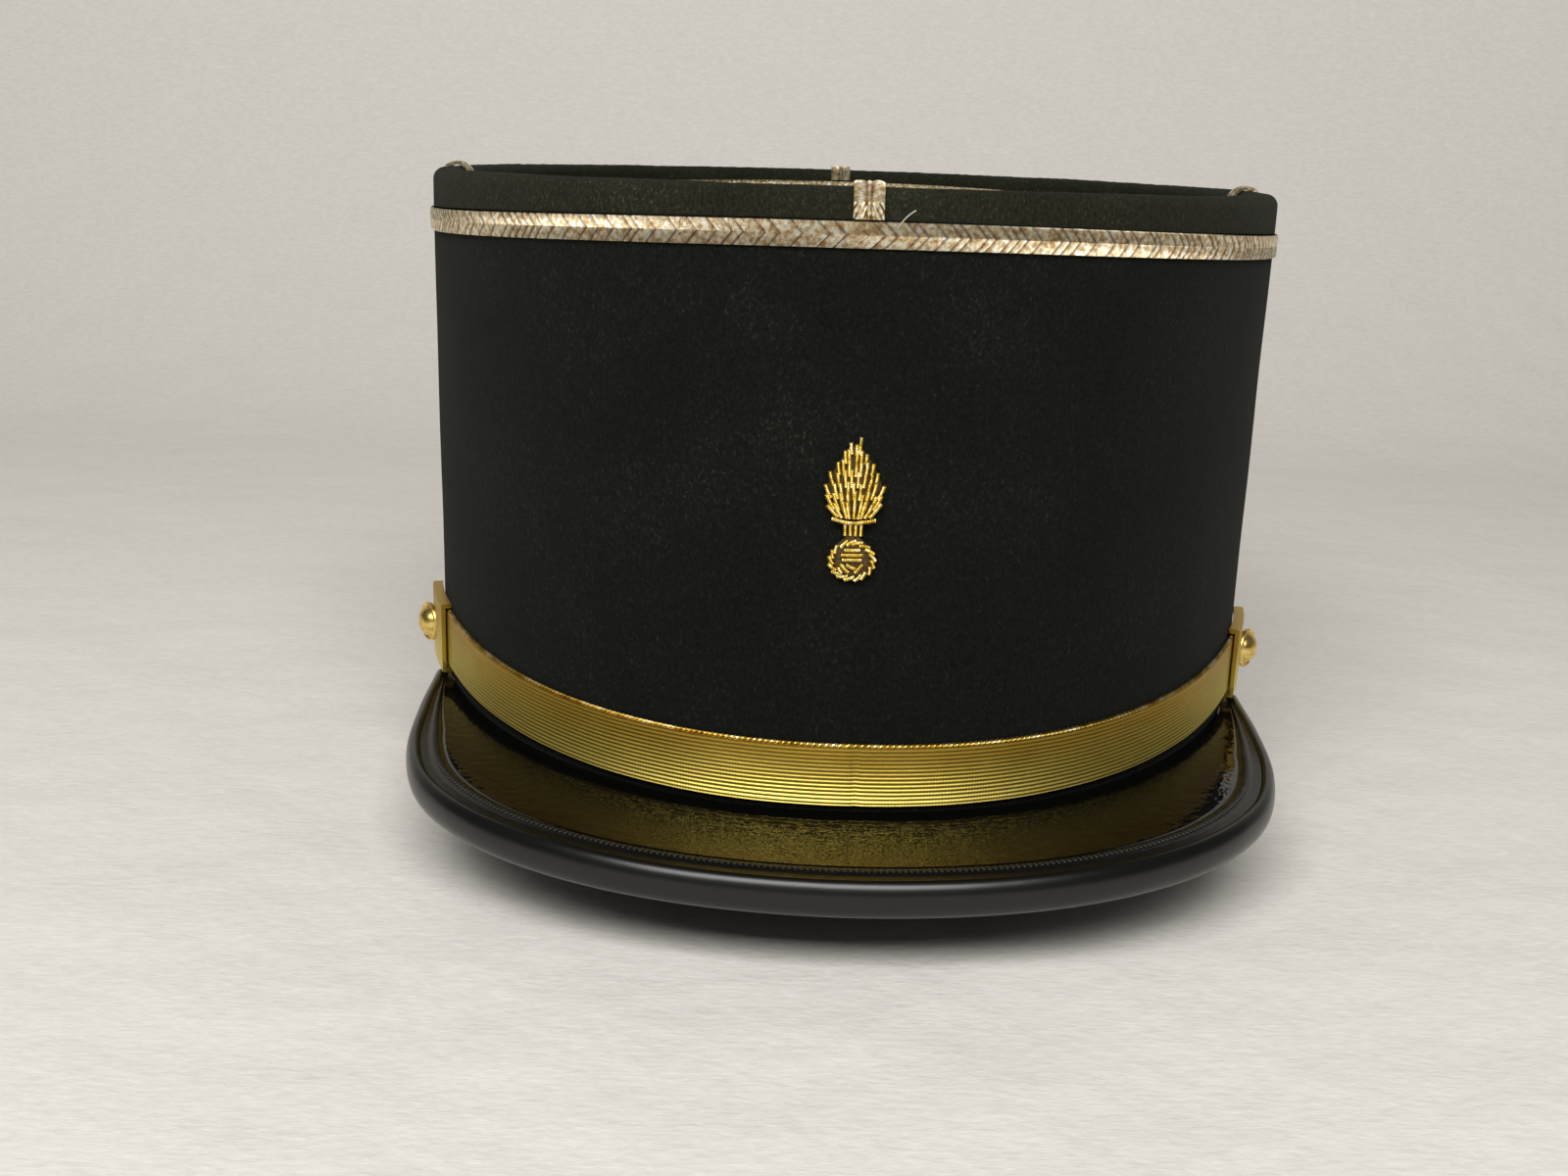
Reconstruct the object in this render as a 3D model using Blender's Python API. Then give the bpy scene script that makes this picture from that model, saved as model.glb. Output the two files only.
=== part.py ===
"""A kepi: a tall felt cap with a flat, sunken top, a patent leather visor with a
beaded edge, flat metal braid round the top, a gold lace chin strap that ends at
two side buttons, and a flaming grenade worked on the front.

Metres, +Z up. The cap stands on a table on the lower edge of its felt tube, and
its visor reaches out over the table. The front faces -Y, and the origin is in the
middle of the cap's own footprint, on the table.
"""

import math
from collections import namedtuple

import bmesh
import bpy
from mathutils import Vector

MM = 0.001

# ---------------------------------------------------------------- driving sizes
GAP = 0.3 * MM              # air between two pieces that lie on each other
STATIONS = 80               # sections round the cap
WALL = 2.5 * MM             # felt over its stiff band

# The felt tube, level sections from the table up. All columns are millimetres,
# but for squareness: 2 is an ellipse, and more is fuller at the corners.
CrownSection = namedtuple(
    "CrownSection", "height half_width half_length centre_y squareness")
CROWN_SECTIONS = (
    CrownSection(0.0, 82.0, 99.5, 13.3, 2.16),
    CrownSection(24.5, 82.0, 99.4, 13.3, 2.16),
    CrownSection(69.5, 82.2, 98.3, 10.6, 2.15),
    CrownSection(114.5, 82.4, 97.3, 7.9, 2.15),
    CrownSection(124.5, 82.3, 97.1, 7.4, 2.15),
)

# Where the visor is sewn on: it rises from the middle to the visor's tips.
SEAM_FRONT = 19.3 * MM
SEAM_TIP = 24.5 * MM
TIP_ANGLE = math.radians(67.5)

# The top: braid, rolled rim and sunken top panel.
SIDE_DIP = 2.8 * MM         # the braid is this much lower at the two sides
RIM_DIP = 0.4 * MM          # and the top of the rim, which is nearly level
BRAID_FOOT = 111.7 * MM
BRAID_WIDTH = 4.1 * MM
BRAID_THICK = 0.5 * MM
RIM_TOP = 120.9 * MM
RIM_THICK = 4.5 * MM
TOP_THICK = 2.0 * MM
INNER_BRAID_WIDTH = 2.0 * MM
INNER_BRAID_THICK = 1.0 * MM
TAB_WIDTH = 4.8 * MM
TAB_THICK = 0.7 * MM

# The visor's beaded edge, from one side of the middle and on to the other tip.
# Across, forward and height place the middle of the bead, an upright oval.
# Millimetres.
BeadRow = namedtuple("BeadRow", "station across forward height half_height half_thick")
BEAD_ROWS = (
    BeadRow(-1.0, -22.5, -109.4, 14.8, 3.1, 1.65),
    BeadRow(0.0, 0.0, -111.3, 14.5, 3.1, 1.65),
    BeadRow(1.0, 22.5, -109.4, 14.8, 3.1, 1.65),
    BeadRow(2.0, 42.0, -104.0, 15.6, 3.1, 1.65),
    BeadRow(3.0, 58.6, -94.0, 16.5, 3.1, 1.65),
    BeadRow(4.0, 70.2, -80.5, 17.6, 3.1, 1.65),
    BeadRow(5.0, 75.4, -66.0, 19.1, 3.1, 1.65),
    BeadRow(6.0, 77.0, -48.5, 20.9, 2.9, 1.6),
    BeadRow(7.0, 77.6, -28.8, 22.8, 1.9, 1.4),
)
BEAD_SIDES = 12
BEAD_STATIONS = 61
VISOR_THICK = 2.2 * MM
VISOR_ROWS = 7
VISOR_SEAT = 0.5            # how far up the bead's upper half the sheet meets it
VISOR_SAG = 0.3 * MM        # how far the sheet's middle hangs below a straight line

# The chin strap and what holds its ends.
STRAP_FRONT = 20.5 * MM     # its lower edge at the middle of the front
STRAP_END = 26.8 * MM       # and where it levels off at the sides
STRAP_SLOPE = 0.125         # rise for each unit of depth
STRAP_EASE = 4.0 * MM
STRAP_WIDTH = 10.4 * MM
STRAP_THICK = 0.9 * MM
KEEPER_FROM = math.radians(62.5)
KEEPER_TO = math.radians(79.0)
KEEPER_LOW = 25.1 * MM
KEEPER_HIGH = 38.9 * MM
KEEPER_THICK = 0.8 * MM
KEEPER_LIP = 0.9 * MM
BUTTON_ANGLE = math.radians(71.8)
BUTTON_HEIGHT = 32.3 * MM
BUTTON_RADIUS = 4.6 * MM
BUTTON_SIDES = 24

# The grenade, from the bottom of its ball up. Millimetres.
BadgeRow = namedtuple("BadgeRow", "height half_width thick")
BADGE_FOOT = 59.6 * MM
BADGE_ROWS = (
    BadgeRow(0.0, 0.9, 0.7), BadgeRow(0.6, 2.2, 0.9), BadgeRow(1.9, 3.2, 1.2),
    BadgeRow(3.3, 3.55, 1.3), BadgeRow(4.7, 3.2, 1.2), BadgeRow(6.0, 2.2, 0.9),
    BadgeRow(6.6, 1.45, 0.8), BadgeRow(8.6, 1.45, 0.8),
    BadgeRow(8.8, 3.6, 0.9), BadgeRow(9.7, 3.6, 0.9),
    BadgeRow(10.0, 3.0, 0.9), BadgeRow(12.0, 4.3, 1.0), BadgeRow(14.4, 5.1, 0.9),
    BadgeRow(14.7, 4.2, 0.9), BadgeRow(16.4, 4.6, 0.9),
    BadgeRow(16.7, 3.5, 0.9), BadgeRow(18.3, 3.6, 0.8),
    BadgeRow(18.6, 2.6, 0.8), BadgeRow(20.2, 2.4, 0.8),
    BadgeRow(20.5, 1.7, 0.7), BadgeRow(22.1, 1.0, 0.6), BadgeRow(23.4, 0.3, 0.5),
)


# ------------------------------------------------------------------ the shapes
def smooth(rows, at):
    """A cubic curve through the rows, whose first column is the running value."""
    keys = [row[0] for row in rows]
    at = min(max(at, keys[0]), keys[-1])
    last = len(rows) - 1
    index = min(max(i for i, key in enumerate(keys) if key <= at), last - 1)

    def slope(i, column):
        before, after = max(i - 1, 0), min(i + 1, last)
        rise = rows[after][column] - rows[before][column]
        return rise / (keys[after] - keys[before])

    span = keys[index + 1] - keys[index]
    t = (at - keys[index]) / span
    values = []
    for column in range(len(rows[0])):
        low, high = rows[index][column], rows[index + 1][column]
        out, into = slope(index, column) * span, slope(index + 1, column) * span
        values.append(
            (2 * t ** 3 - 3 * t ** 2 + 1) * low + (t ** 3 - 2 * t ** 2 + t) * out
            + (3 * t ** 2 - 2 * t ** 3) * high + (t ** 3 - t ** 2) * into)
    return type(rows[0])(*values)


def soft_floor(value, ease):
    """The value where it is positive, else 0, with a round turn between."""
    if value <= -ease:
        return 0.0
    if value >= ease:
        return value
    return (value + ease) ** 2 / (4 * ease)


def power_of(value, exponent):
    return math.copysign(abs(value) ** exponent, value)


def crown_point(angle, height, outward=0.0):
    """A point round the felt tube, or off it. Angle 0 is the front, and a
    quarter turn is the wearer's left, at +X."""
    section = smooth(CROWN_SECTIONS, height / MM)
    exponent = 2.0 / section.squareness
    across = section.half_width * MM + outward
    along = section.half_length * MM + outward
    return Vector((
        across * power_of(math.sin(angle), exponent),
        section.centre_y * MM - along * power_of(math.cos(angle), exponent),
        height))


def depth_at(angle):
    """Where a station of the tube's foot lies, front to back."""
    return crown_point(angle, 0.0).y


FRONT_Y = depth_at(0.0)
TIP_Y = depth_at(TIP_ANGLE)


def seam_height(angle):
    """Where the upper side of the visor meets the felt."""
    share = (depth_at(angle) - FRONT_Y) / (TIP_Y - FRONT_Y)
    return SEAM_FRONT + (SEAM_TIP - SEAM_FRONT) * share


def strap_height(angle):
    """Lower edge of the chin strap."""
    line = STRAP_FRONT + STRAP_SLOPE * (depth_at(angle) - FRONT_Y)
    return STRAP_END - soft_floor(STRAP_END - line, STRAP_EASE * STRAP_SLOPE)


def dip(angle, share=1.0):
    """How much lower the braid and the top panel are towards the sides."""
    return SIDE_DIP * (share * math.sin(angle)) ** 2


def rim_level(angle, height):
    """Height on the rim: its foot follows the braid and its top is nearly level."""
    foot = BRAID_FOOT + BRAID_WIDTH + GAP
    share = min((height - foot) / (RIM_TOP - RIM_THICK / 2 - foot), 1.0)
    fall = SIDE_DIP + (RIM_DIP - SIDE_DIP) * share
    return height - fall * math.sin(angle) ** 2


def stations(first, last, count):
    return [first + (last - first) * i / (count - 1) for i in range(count)]


def all_round():
    return [2 * math.pi * i / STATIONS for i in range(STATIONS)]


def visor_stations():
    step = 2 * math.pi / STATIONS
    return stations(-TIP_ANGLE, TIP_ANGLE, round(2 * TIP_ANGLE / step) + 1)


# ----------------------------------------------------------------- the building
def finish(name, mesh, look):
    bmesh.ops.recalc_face_normals(mesh, faces=mesh.faces[:])
    data = bpy.data.meshes.new(name)
    mesh.to_mesh(data)
    mesh.free()
    data.shade_smooth()
    data.set_sharp_from_angle(angle=math.radians(35))
    data.materials.append(look)
    piece = bpy.data.objects.new(name, data)
    bpy.context.scene.collection.objects.link(piece)
    return piece


def loft(name, sections, look, closed=False):
    """One solid skinned over closed sections, which join up in a ring or are
    capped at both ends."""
    mesh = bmesh.new()
    loops = []
    for section in sections:
        corners = [mesh.verts.new(point) for point in section]
        ring = zip(corners, corners[1:] + corners[:1])
        loops.append([mesh.edges.new(pair) for pair in ring])
    for first, second in zip(loops, loops[1:]):
        bmesh.ops.bridge_loops(mesh, edges=first + second)
    if closed:
        bmesh.ops.bridge_loops(mesh, edges=loops[-1] + loops[0])
    else:
        bmesh.ops.contextual_create(mesh, geom=loops[0])
        bmesh.ops.contextual_create(mesh, geom=loops[-1])
    return finish(name, mesh, look)


def band(name, profile, look, angles=None):
    """A piece that follows the tube. The profile gives, for an angle, the
    corners of its section as distance out from the felt and height."""
    closed = angles is None
    sections = []
    for angle in all_round() if closed else angles:
        sections.append([
            crown_point(angle, height, outward) for outward, height in profile(angle)])
    return loft(name, sections, look, closed)


def material(name, colour, roughness, metallic=0.0):
    look = bpy.data.materials.new(name)
    look.use_nodes = True
    shader = look.node_tree.nodes["Principled BSDF"]
    shader.inputs["Base Color"].default_value = (*colour, 1.0)
    shader.inputs["Roughness"].default_value = roughness
    shader.inputs["Metallic"].default_value = metallic
    return look


# ------------------------------------------------------------------- the crown
def crown_wall(look):
    outer_rows, inner_rows = 8, 5
    top = BRAID_FOOT + BRAID_WIDTH

    def profile(angle):
        high = top - dip(angle)
        outside = [(0.0, height) for height in stations(0.0, high, outer_rows)]
        inside = [(-WALL, height) for height in stations(high, 0.0, inner_rows)]
        return outside + inside

    return band("crown_wall", profile, look)


def crown_top(look):
    """The top panel lies in the tube, flush with the top of its wall."""
    upper = BRAID_FOOT + BRAID_WIDTH
    inset = WALL + GAP

    def ring(share, height):
        points = []
        for angle in all_round():
            edge = crown_point(angle, height, -inset)
            middle = Vector((0.0, crown_point(math.pi / 2, height).y, height))
            point = middle.lerp(edge, share)
            point.z = height - dip(angle, share)
            points.append(point)
        return points

    shares = (0.3, 0.65, 1.0)
    above = [ring(share, upper) for share in shares]
    below = [ring(share, upper - TOP_THICK) for share in reversed(shares)]
    return loft("crown_top", above + below, look)


def rim_path():
    """Outside, over and inside the rolled rim: distance out, height and the
    direction that the surface faces, as an angle from outwards to up."""
    radius = RIM_THICK / 2
    centre = RIM_TOP - radius
    foot = BRAID_FOOT + BRAID_WIDTH + GAP
    path = [(0.0, foot, 0.0)]
    for turn in stations(0.0, math.pi, 7):
        path.append((
            -radius + radius * math.cos(turn), centre + radius * math.sin(turn), turn))
    path.append((-RIM_THICK, foot, math.pi))
    return path


def top_rim(look):
    def profile(angle):
        return [(outward, rim_level(angle, height)) for outward, height, _ in rim_path()]

    return band("top_rim", profile, look)


# ------------------------------------------------------------------- the braid
def flat_band(name, look, foot, width, inner, thick):
    """A flat strip round the tube, which dips at the sides."""
    def profile(angle):
        low = foot - dip(angle)
        return [(inner, low), (inner + thick, low),
                (inner + thick, low + width), (inner, low + width)]

    return band(name, profile, look)


def braid_tab(name, angle, look):
    """A short braid from the band over the rim to the top panel."""
    inner_end = BRAID_FOOT + BRAID_WIDTH + GAP + INNER_BRAID_WIDTH + GAP
    path = rim_path()
    path[-1] = (path[-1][0], inner_end, path[-1][2])
    half = TAB_WIDTH / 2
    nearby = math.radians(1.0)
    sections = []
    for outward, height, turn in path:
        level = rim_level(angle, height)
        side = crown_point(angle + nearby, level) - crown_point(angle - nearby, level)
        side.z = 0.0
        side.normalize()
        out = Vector((side.y, -side.x, 0.0))
        facing = out * math.cos(turn) + Vector((0.0, 0.0, math.sin(turn)))
        foot = crown_point(angle, level) + out * outward
        sections.append([
            foot + side * across + facing * lift
            for across, lift in (
                (-half, GAP), (half, GAP), (half, GAP + TAB_THICK), (-half, GAP + TAB_THICK))])
    return loft(name, sections, look)


# ------------------------------------------------------------------- the visor
def bead_at(angle):
    """Middle, half height and half thickness of the bead for a felt's station."""
    share = abs(angle) / TIP_ANGLE
    row = smooth(BEAD_ROWS, share * BEAD_ROWS[-1].station)
    middle = Vector((math.copysign(row.across, angle), row.forward, row.height))
    return middle * MM, row.half_height * MM, row.half_thick * MM


def bead_course(angle):
    """The way the bead runs at a station, from the right-hand tip to the left."""
    nearby = math.radians(0.5)
    before = max(angle - nearby, -TIP_ANGLE)
    after = min(angle + nearby, TIP_ANGLE)
    return (bead_at(after)[0] - bead_at(before)[0]).normalized()


def visor_section(angle):
    """From the felt out to the bead, upper side first, with upright end faces."""
    up = Vector((0.0, 0.0, 1.0))
    half = VISOR_THICK / 2
    start = crown_point(angle, seam_height(angle), GAP) - up * half
    middle, half_height, half_thick = bead_at(angle)
    reach = middle - start
    out = Vector((reach.x, reach.y, 0.0)).normalized()
    course = bead_course(angle)
    across = Vector((course.y, -course.x, 0.0)).normalized()
    clear = (half_thick + GAP) / abs(out.dot(across))
    end = middle - out * clear + up * (VISOR_SEAT * half_height)
    upper, lower = [], []
    for t in stations(0.0, 1.0, VISOR_ROWS):
        point = start.lerp(end, t) - up * (VISOR_SAG * math.sin(math.pi * t))
        upper.append(point + up * half)
        lower.append(point - up * half)
    return upper + lower[::-1]


def visor(look):
    """The sheet stops a station short of the bead's tips, where it has no width."""
    return loft(
        "visor", [visor_section(angle) for angle in visor_stations()[1:-1]], look)


def visor_edge(look):
    turns = [2 * math.pi * i / BEAD_SIDES for i in range(BEAD_SIDES)]
    sections = []
    for angle in stations(-TIP_ANGLE, TIP_ANGLE, BEAD_STATIONS):
        middle, half_height, half_thick = bead_at(angle)
        along = bead_course(angle)
        side = along.cross(Vector((0.0, 0.0, 1.0))).normalized()
        rise = side.cross(along)
        sections.append([
            middle + side * (half_thick * math.cos(turn)) + rise * (half_height * math.sin(turn))
            for turn in turns])
    return loft("visor_edge", sections, look)


# -------------------------------------------------------------- the chin strap
def chin_strap(look):
    edge = 0.3 * MM

    def profile(angle):
        low = strap_height(angle)
        high = low + STRAP_WIDTH
        face = GAP + STRAP_THICK
        return [(GAP, low), (face - edge, low), (face, low + edge),
                (face, high - edge), (face - edge, high), (GAP, high)]

    return band("chin_strap", profile, look, visor_stations())


def strap_keeper(name, side, look):
    """A flat loop over the end of the strap, its lips turned in to the felt."""
    inside = GAP + STRAP_THICK + GAP
    outside = inside + KEEPER_THICK
    low, high = KEEPER_LOW, KEEPER_HIGH

    def profile(_):
        return [(GAP, low), (outside, low), (outside, high), (GAP, high),
                (GAP, high - KEEPER_LIP), (inside, high - KEEPER_LIP),
                (inside, low + KEEPER_LIP), (GAP, low + KEEPER_LIP)]

    angles = stations(side * KEEPER_FROM, side * KEEPER_TO, 5)
    return band(name, profile, look, angles)


def button(name, side, look):
    """A domed button, turned about the line that stands square on the felt."""
    nearby = math.radians(1.0)
    angle = side * BUTTON_ANGLE
    seat = GAP + STRAP_THICK + GAP + KEEPER_THICK + 1.4 * GAP
    along = (crown_point(angle + nearby, BUTTON_HEIGHT)
             - crown_point(angle - nearby, BUTTON_HEIGHT)).normalized()
    out = Vector((along.y, -along.x, 0.0))
    half_turn = [(0.0, 2.1), (1.6, 1.85), (2.9, 1.3), (3.6, 0.75), (3.9, 0.75),
                 (4.3, 0.85), (4.6, 0.55), (4.4, 0.0), (0.0, 0.0)]
    scale = BUTTON_RADIUS / half_turn[6][0]
    mesh = bmesh.new()
    corners = [mesh.verts.new((r * scale, 0.0, z * scale)) for r, z in half_turn]
    edges = [mesh.edges.new(pair) for pair in zip(corners, corners[1:])]
    bmesh.ops.spin(
        mesh, geom=corners + edges, cent=(0, 0, 0), axis=(0, 0, 1),
        angle=2 * math.pi, steps=BUTTON_SIDES, use_merge=True, use_duplicate=False)
    bmesh.ops.remove_doubles(mesh, verts=mesh.verts[:], dist=0.01 * MM)
    piece = finish(name, mesh, look)
    piece.rotation_mode = "QUATERNION"
    piece.rotation_quaternion = out.to_track_quat("Z", "Y")
    piece.location = crown_point(angle, BUTTON_HEIGHT) + out * seat
    return piece


# ------------------------------------------------------------------- the badge
def on_the_front(across, height, outward):
    """A point over the felt's front, given by how far it is to one side."""
    section = smooth(CROWN_SECTIONS, height / MM)
    share = (abs(across) / (section.half_width * MM)) ** section.squareness
    along = section.half_length * MM * (1 - share) ** (1 / section.squareness)
    return Vector((across, section.centre_y * MM - along - outward, height))


def badge(look):
    sections = []
    for row in BADGE_ROWS:
        height = BADGE_FOOT + row.height * MM
        half = row.half_width * MM
        face = GAP + row.thick * MM
        corners = ((-1.0, GAP), (1.0, GAP), (1.0, face * 0.7),
                   (0.5, face), (-0.5, face), (-1.0, face * 0.7))
        sections.append([
            on_the_front(share * half, height, outward) for share, outward in corners])
    return loft("badge", sections, look)


# ------------------------------------------------------------------ the whole
def build():
    for old in list(bpy.data.objects):
        bpy.data.objects.remove(old, do_unlink=True)

    felt = (0.010, 0.011, 0.010)
    gold = (0.62, 0.43, 0.12)
    silver_gilt = (0.60, 0.47, 0.36)
    crown_wall(material("wall_felt", felt, 0.95))
    crown_top(material("top_felt", felt, 0.95))
    top_rim(material("rim_felt", (0.014, 0.015, 0.014), 0.95))
    flat_band("braid_band", material("band_braid", silver_gilt, 0.4, 0.9),
              BRAID_FOOT, BRAID_WIDTH, GAP, BRAID_THICK)
    flat_band("inner_braid", material("inner_braid", silver_gilt, 0.45, 0.9),
              BRAID_FOOT + BRAID_WIDTH + GAP, INNER_BRAID_WIDTH,
              -RIM_THICK - GAP - INNER_BRAID_THICK, INNER_BRAID_THICK)
    quarter = math.pi / 2
    for place, turns in (("front", 0), ("left", 1), ("back", 2), ("right", 3)):
        name = "braid_tab_" + place
        braid_tab(name, turns * quarter, material(name, silver_gilt, 0.4, 0.9))
    visor(material("patent_leather", (0.006, 0.006, 0.006), 0.06))
    visor_edge(material("patent_edge", (0.006, 0.006, 0.006), 0.15))
    chin_strap(material("gold_lace", gold, 0.4, 0.9))
    for place, side in (("left", 1), ("right", -1)):
        keeper, stud = "strap_keeper_" + place, "button_" + place
        strap_keeper(keeper, side, material(keeper, gold, 0.4, 0.9))
        button(stud, side, material(stud, (0.70, 0.47, 0.14), 0.2, 1.0))
    badge(material("gold_bullion", gold, 0.35, 1.0))


build()
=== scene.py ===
# %% [markdown]
# # Dressing a kepi
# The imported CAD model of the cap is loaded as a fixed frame. Each of its plain
# pieces is then replaced by one that is made as the real one looks: wool felt,
# metal braid, ribbed gold lace, patent leather and bullion embroidery. Nothing is
# moved, so a new piece is worked out from the same form as the frame.

# %% The frame
import math
import random
from collections import namedtuple

import bmesh
import bpy
from mathutils import Matrix, Vector, noise


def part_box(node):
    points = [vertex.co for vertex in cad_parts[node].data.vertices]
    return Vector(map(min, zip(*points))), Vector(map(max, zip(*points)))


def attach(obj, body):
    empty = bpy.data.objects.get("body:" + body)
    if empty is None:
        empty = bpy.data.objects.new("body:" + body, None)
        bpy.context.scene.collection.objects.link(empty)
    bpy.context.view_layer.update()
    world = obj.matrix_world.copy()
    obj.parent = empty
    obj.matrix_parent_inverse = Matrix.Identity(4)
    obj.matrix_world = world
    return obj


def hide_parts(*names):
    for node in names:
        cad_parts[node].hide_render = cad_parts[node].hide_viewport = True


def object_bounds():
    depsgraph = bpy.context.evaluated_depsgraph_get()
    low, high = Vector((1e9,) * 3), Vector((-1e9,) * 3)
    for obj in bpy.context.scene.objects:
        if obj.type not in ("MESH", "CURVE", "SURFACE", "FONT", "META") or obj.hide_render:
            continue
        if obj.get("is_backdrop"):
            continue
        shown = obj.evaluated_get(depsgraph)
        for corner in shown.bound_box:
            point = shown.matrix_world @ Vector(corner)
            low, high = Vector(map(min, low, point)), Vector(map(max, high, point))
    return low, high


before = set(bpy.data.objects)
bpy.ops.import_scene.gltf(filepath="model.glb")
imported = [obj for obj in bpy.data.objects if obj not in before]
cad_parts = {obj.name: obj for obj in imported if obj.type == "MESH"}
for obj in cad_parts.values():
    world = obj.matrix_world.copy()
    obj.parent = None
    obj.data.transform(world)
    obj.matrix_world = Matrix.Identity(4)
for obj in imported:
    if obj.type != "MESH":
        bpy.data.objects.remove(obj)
cad_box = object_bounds()
print("nodes in the frame:", sorted(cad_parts))

MM = 0.001
UP = Vector((0.0, 0.0, 1.0))
GAP = 0.3 * MM              # air between two pieces that lie on each other

# %% [markdown]
# ## The form of the felt
# A kepi's tube is an oval that shifts as it rises, because the front stands
# almost upright and the back leans. A superellipse gives that oval with one number
# for how full its corners are. Five levels are enough, with a cubic curve between.

# %% Levels of the tube
CrownSection = namedtuple(
    "CrownSection", "height half_width half_length centre_y squareness")
CROWN_SECTIONS = (
    CrownSection(0.0, 82.0, 99.5, 13.3, 2.16),
    CrownSection(24.5, 82.0, 99.4, 13.3, 2.16),
    CrownSection(69.5, 82.2, 98.3, 10.6, 2.15),
    CrownSection(114.5, 82.4, 97.3, 7.9, 2.15),
    CrownSection(124.5, 82.3, 97.1, 7.4, 2.15),
)


def smooth(rows, at):
    """A cubic curve through the rows, whose first column is the running value."""
    keys = [row[0] for row in rows]
    at = min(max(at, keys[0]), keys[-1])
    last = len(rows) - 1
    index = min(max(i for i, key in enumerate(keys) if key <= at), last - 1)

    def slope(i, column):
        before, after = max(i - 1, 0), min(i + 1, last)
        return (rows[after][column] - rows[before][column]) / (keys[after] - keys[before])

    span = keys[index + 1] - keys[index]
    t = (at - keys[index]) / span
    values = []
    for column in range(len(rows[0])):
        low, high = rows[index][column], rows[index + 1][column]
        out, into = slope(index, column) * span, slope(index + 1, column) * span
        values.append(
            (2 * t ** 3 - 3 * t ** 2 + 1) * low + (t ** 3 - 2 * t ** 2 + t) * out
            + (3 * t ** 2 - 2 * t ** 3) * high + (t ** 3 - t ** 2) * into)
    return type(rows[0])(*values)


def power_of(value, exponent):
    return math.copysign(abs(value) ** exponent, value)


def felt_point(angle, height, outward=0.0):
    """A point on the tube or off it. Angle 0 is the front, a quarter turn is +X."""
    section = smooth(CROWN_SECTIONS, height / MM)
    exponent = 2.0 / section.squareness
    return Vector((
        (section.half_width * MM + outward) * power_of(math.sin(angle), exponent),
        section.centre_y * MM
        - (section.half_length * MM + outward) * power_of(math.cos(angle), exponent),
        height))


wall_low, wall_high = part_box("crown_wall")
print("felt: frame %.1f mm wide, formula %.1f mm" % (
    (wall_high.x - wall_low.x) / MM,
    2 * felt_point(math.pi / 2, wall_high.z).x / MM))

# %% [markdown]
# ## The lines that the other pieces follow
# The visor's seam rises from the middle of the front to its two tips. The braid is
# a little lower at the sides than at the front and back, while the top of the rim
# is nearly level. The chin strap climbs with the seam and levels off at the buttons.

# %% Seam, rim and strap levels
SEAM_FRONT, SEAM_TIP = 19.3 * MM, 24.5 * MM
TIP_ANGLE = math.radians(67.5)
SIDE_DIP, RIM_DIP = 2.8 * MM, 0.4 * MM
BRAID_FOOT, BRAID_WIDTH = 111.7 * MM, 4.1 * MM
RIM_TOP, RIM_THICK = 120.9 * MM, 4.5 * MM
rim_radius = RIM_THICK / 2
rim_foot = BRAID_FOOT + BRAID_WIDTH + GAP
rim_middle = RIM_TOP - rim_radius
STRAP_FRONT, STRAP_END = 20.5 * MM, 26.8 * MM
STRAP_SLOPE, STRAP_EASE = 0.125, 4.0 * MM
STRAP_WIDTH = 10.4 * MM
WALL = 2.5 * MM
FRONT_Y = felt_point(0.0, 0.0).y
TIP_Y = felt_point(TIP_ANGLE, 0.0).y


def soft_floor(value, ease):
    """The value where it is positive, else 0, with a round turn between."""
    if value <= -ease:
        return 0.0
    if value >= ease:
        return value
    return (value + ease) ** 2 / (4 * ease)


def seam_height(angle):
    """Where the upper side of the visor meets the felt."""
    share = (felt_point(angle, 0.0).y - FRONT_Y) / (TIP_Y - FRONT_Y)
    return SEAM_FRONT + (SEAM_TIP - SEAM_FRONT) * share


def strap_height(angle):
    line = STRAP_FRONT + STRAP_SLOPE * (felt_point(angle, 0.0).y - FRONT_Y)
    return STRAP_END - soft_floor(STRAP_END - line, STRAP_EASE * STRAP_SLOPE)


def dip(angle, share=1.0):
    return SIDE_DIP * (share * math.sin(angle)) ** 2


def rim_level(angle, height):
    """Height on the rim: its foot follows the braid and its top is nearly level."""
    share = min((height - rim_foot) / (rim_middle - rim_foot), 1.0)
    return height - (SIDE_DIP + (RIM_DIP - SIDE_DIP) * share) * math.sin(angle) ** 2


# %% [markdown]
# ## Helpers for meshes and for nodes
# Almost every piece of a cap is a strip with a section, laid along a line. So one
# helper starts from a flat grid, whose second direction goes once round the
# section, moves each point to its place, and merges the seam. The flat lengths are
# kept in a UV map in millimetres, so a weave can follow the strip. The other helpers
# add nodes to a material, because most finishes here are a noise, a ramp of colours
# and a shallow bump.

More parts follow.
